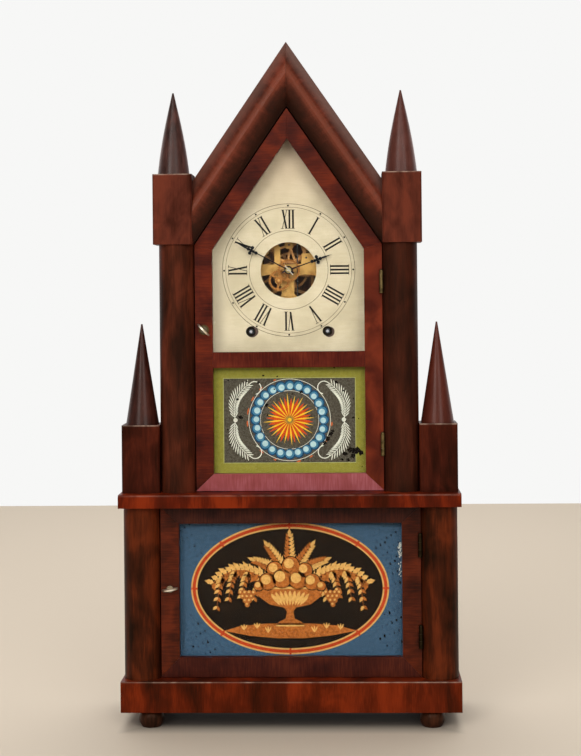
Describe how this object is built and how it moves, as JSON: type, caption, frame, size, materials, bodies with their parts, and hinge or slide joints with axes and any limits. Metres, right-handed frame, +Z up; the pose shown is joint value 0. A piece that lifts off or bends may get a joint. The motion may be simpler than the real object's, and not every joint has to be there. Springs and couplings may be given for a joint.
{
  "type": "double steeple shelf clock",
  "caption": "Gothic shelf clock with a gabled upper case between steeples, a wider lower case, glazed doors with painted tablets and an open-centre dial over a brass movement.",
  "frame": {"origin": "on the floor under the middle of the clock", "axes": "+Z up, -Y towards the viewer, +X to the viewer's right"},
  "size_m": [0.336, 0.112, 0.6759],
  "materials": {
    "column_veneer": "satin",
    "door_veneer": "satin",
    "case_veneer": "satin",
    "pine": "matt",
    "clear_glass": "gloss",
    "painted_glass": "gloss",
    "blue_painted_glass": "gloss",
    "brass": "satin",
    "steel": "satin",
    "iron": "matt",
    "dial_paint": "matt",
    "black_paint": "satin",
    "cord": "matt"
  },
  "bodies": {
    "case": {"ball_feet": "column_veneer", "plinth": "case_veneer", "floor_board": "pine", "side_boards": "case_veneer", "front_posts": "column_veneer", "lower_columns": "column_veneer", "waist_board": "case_veneer", "backboards": "pine", "roof_boards": "case_veneer", "upper_columns": "column_veneer", "shoulder_blocks": "door_veneer", "lower_steeples": "column_veneer", "capitals": "door_veneer", "upper_steeples": "column_veneer", "gable_rail_left": "door_veneer", "gable_rail_right": "door_veneer", "hinge_fixed_leaves": "brass", "dial_plate": "dial_paint", "dial_blocks": "pine", "front_plate": "brass", "back_plate": "brass", "plate_pillars": "brass", "gong": "steel", "leaf_spring": "steel", "spring_clamp": "iron", "lever_brackets": "iron", "drive_cords": "cord"},
    "upper_door": {"upper_door_frame": "door_veneer", "dial_glass": "clear_glass", "upper_tablet": "painted_glass", "upper_hinge_door_leaves": "brass", "latch_escutcheon": "brass"},
    "upper_turn": {"upper_latch": "steel"},
    "lower_door": {"lower_door_frame": "door_veneer", "lower_tablet": "blue_painted_glass", "lower_hinge_door_leaves": "brass"},
    "lower_turn": {"lower_latch": "steel"},
    "minute_motion": {"minute_hand": "black_paint", "cannon_pinion": "brass"},
    "minute_arbor": {"minute_wheel": "brass"},
    "hour_motion": {"hour_hand": "black_paint", "hour_wheel": "brass"},
    "third_arbor": {"time_third_wheel": "brass"},
    "escape_arbor": {"escape_wheel": "steel"},
    "centre_arbor": {"centre_wheel": "brass"},
    "second_arbor": {"time_second_wheel": "brass"},
    "great_arbor": {"time_great_wheel": "brass"},
    "winding_arbor": {"time_drum": "brass"},
    "time_quadrant": {"time_lever": "iron"},
    "time_stirrup": {"time_link": "iron"},
    "strike_third_arbor": {"strike_third_wheel": "brass"},
    "fly_arbor": {"strike_fly": "brass"},
    "strike_second_arbor": {"strike_second_wheel": "brass"},
    "strike_great_arbor": {"strike_great_wheel": "brass"},
    "strike_winding_arbor": {"strike_drum": "brass"},
    "strike_quadrant": {"strike_lever": "iron"},
    "strike_stirrup": {"strike_link": "iron"},
    "pendulum_swing": {"pendulum": "brass"},
    "verge_arbor": {"verge_and_crutch": "steel"},
    "hammer_arbor": {"hammer": "steel"}
  },
  "joints": [
    {"name": "upper_door_hinge", "type": "hinge", "parent": "case", "child": "upper_door", "pos_m": [0.0926, -0.0317, 0.3], "axis": [0, 0, 1], "range_deg": [0, 100]},
    {"name": "upper_latch_turn", "type": "hinge", "parent": "upper_door", "child": "upper_turn", "pos_m": [-0.0842, -0.023, 0.39], "axis": [0, 1, 0], "range_deg": [-135, 0]},
    {"name": "lower_door_hinge", "type": "hinge", "parent": "case", "child": "lower_door", "pos_m": [0.1281, -0.0397, 0.131], "axis": [0, 0, 1], "range_deg": [0, 100]},
    {"name": "lower_latch_turn", "type": "hinge", "parent": "lower_door", "child": "lower_turn", "pos_m": [-0.1193, -0.03, 0.134], "axis": [0, 1, 0], "range_deg": [0, 90]},
    {"name": "minute_hand_turn", "type": "hinge", "parent": "case", "child": "minute_motion", "pos_m": [0, -0.005, 0.449], "axis": [0, 1, 0], "continuous": true},
    {"name": "minute_wheel_turn", "type": "hinge", "parent": "case", "child": "minute_arbor", "pos_m": [-0.01018, 0, 0.43882], "axis": [0, 1, 0], "continuous": true},
    {"name": "hour_hand_turn", "type": "hinge", "parent": "case", "child": "hour_motion", "pos_m": [0, -0.005, 0.449], "axis": [0, 1, 0], "continuous": true},
    {"name": "third_wheel_turn", "type": "hinge", "parent": "case", "child": "third_arbor", "pos_m": [0.0174, 0.026, 0.4618], "axis": [0, 1, 0], "continuous": true},
    {"name": "escape_wheel_turn", "type": "hinge", "parent": "case", "child": "escape_arbor", "pos_m": [0, 0.026, 0.475], "axis": [0, 1, 0], "continuous": true},
    {"name": "centre_wheel_turn", "type": "hinge", "parent": "case", "child": "centre_arbor", "pos_m": [0, 0.026, 0.449], "axis": [0, 1, 0], "continuous": true},
    {"name": "second_wheel_turn", "type": "hinge", "parent": "case", "child": "second_arbor", "pos_m": [0.02335, 0.026, 0.42369], "axis": [0, 1, 0], "continuous": true},
    {"name": "great_wheel_turn", "type": "hinge", "parent": "case", "child": "great_arbor", "pos_m": [0.0386, 0.014, 0.3874], "axis": [0, 1, 0], "continuous": true},
    {"name": "time_winding", "type": "hinge", "parent": "great_arbor", "child": "winding_arbor", "pos_m": [0.0386, 0.026, 0.3874], "axis": [0, 1, 0], "range_deg": [-170, 0]},
    {"name": "time_lever_swing", "type": "hinge", "parent": "case", "child": "time_quadrant", "pos_m": [0.0928, 0.026, 0.13], "axis": [0, 1, 0], "range_deg": [-1, 30], "deforming": ["leaf_spring"]},
    {"name": "time_link_swing", "type": "hinge", "parent": "time_quadrant", "child": "time_stirrup", "pos_m": [0.0783, 0.026, 0.13], "axis": [0, 1, 0], "range_deg": [-30, 1]},
    {"name": "strike_third_wheel_turn", "type": "hinge", "parent": "case", "child": "strike_third_arbor", "pos_m": [-0.03286, 0.026, 0.4513], "axis": [0, 1, 0], "continuous": true},
    {"name": "fly_turn", "type": "hinge", "parent": "case", "child": "fly_arbor", "pos_m": [-0.02598, 0.026, 0.46923], "axis": [0, 1, 0], "continuous": true},
    {"name": "strike_second_wheel_turn", "type": "hinge", "parent": "case", "child": "strike_second_arbor", "pos_m": [-0.02514, 0.026, 0.42439], "axis": [0, 1, 0], "continuous": true},
    {"name": "strike_great_wheel_turn", "type": "hinge", "parent": "case", "child": "strike_great_arbor", "pos_m": [-0.0386, 0.014, 0.3874], "axis": [0, 1, 0], "continuous": true},
    {"name": "strike_winding", "type": "hinge", "parent": "strike_great_arbor", "child": "strike_winding_arbor", "pos_m": [-0.0386, 0.026, 0.3874], "axis": [0, 1, 0], "range_deg": [0, 170]},
    {"name": "strike_lever_swing", "type": "hinge", "parent": "case", "child": "strike_quadrant", "pos_m": [-0.0928, 0.026, 0.13], "axis": [0, 1, 0], "range_deg": [-30, 1], "deforming": ["leaf_spring"]},
    {"name": "strike_link_swing", "type": "hinge", "parent": "strike_quadrant", "child": "strike_stirrup", "pos_m": [-0.0783, 0.026, 0.13], "axis": [0, 1, 0], "range_deg": [-1, 30]},
    {"name": "pendulum_hang", "type": "hinge", "parent": "case", "child": "pendulum_swing", "pos_m": [0.0085, 0.0046, 0.499], "axis": [0, 1, 0], "range_deg": [-3, 3]},
    {"name": "verge_swing", "type": "hinge", "parent": "case", "child": "verge_arbor", "pos_m": [0.0085, 0.026, 0.499], "axis": [0, 1, 0], "range_deg": [-3.1, 3.1]},
    {"name": "hammer_swing", "type": "hinge", "parent": "case", "child": "hammer_arbor", "pos_m": [-0.054, 0.026, 0.428], "axis": [0, 1, 0], "range_deg": [0, 12]}
  ],
  "couplings": [
    {"joint": "minute_wheel_turn", "follows": "minute_hand_turn", "ratio": -0.33333},
    {"joint": "hour_hand_turn", "follows": "minute_hand_turn", "ratio": 0.083333},
    {"joint": "escape_wheel_turn", "follows": "third_wheel_turn", "ratio": -8.75},
    {"joint": "centre_wheel_turn", "follows": "third_wheel_turn", "ratio": -0.125},
    {"joint": "second_wheel_turn", "follows": "third_wheel_turn", "ratio": 0.020833},
    {"joint": "great_wheel_turn", "follows": "third_wheel_turn", "ratio": -0.0029762},
    {"joint": "time_lever_swing", "follows": "time_winding", "ratio": -0.17},
    {"joint": "time_link_swing", "follows": "time_winding", "ratio": 0.17},
    {"joint": "fly_turn", "follows": "strike_third_wheel_turn", "ratio": -7},
    {"joint": "strike_second_wheel_turn", "follows": "strike_third_wheel_turn", "ratio": -0.11111},
    {"joint": "strike_great_wheel_turn", "follows": "strike_third_wheel_turn", "ratio": 0.015873},
    {"joint": "strike_lever_swing", "follows": "strike_winding", "ratio": -0.17},
    {"joint": "strike_link_swing", "follows": "strike_winding", "ratio": 0.17},
    {"joint": "verge_swing", "follows": "pendulum_hang", "ratio": 1}
  ]
}
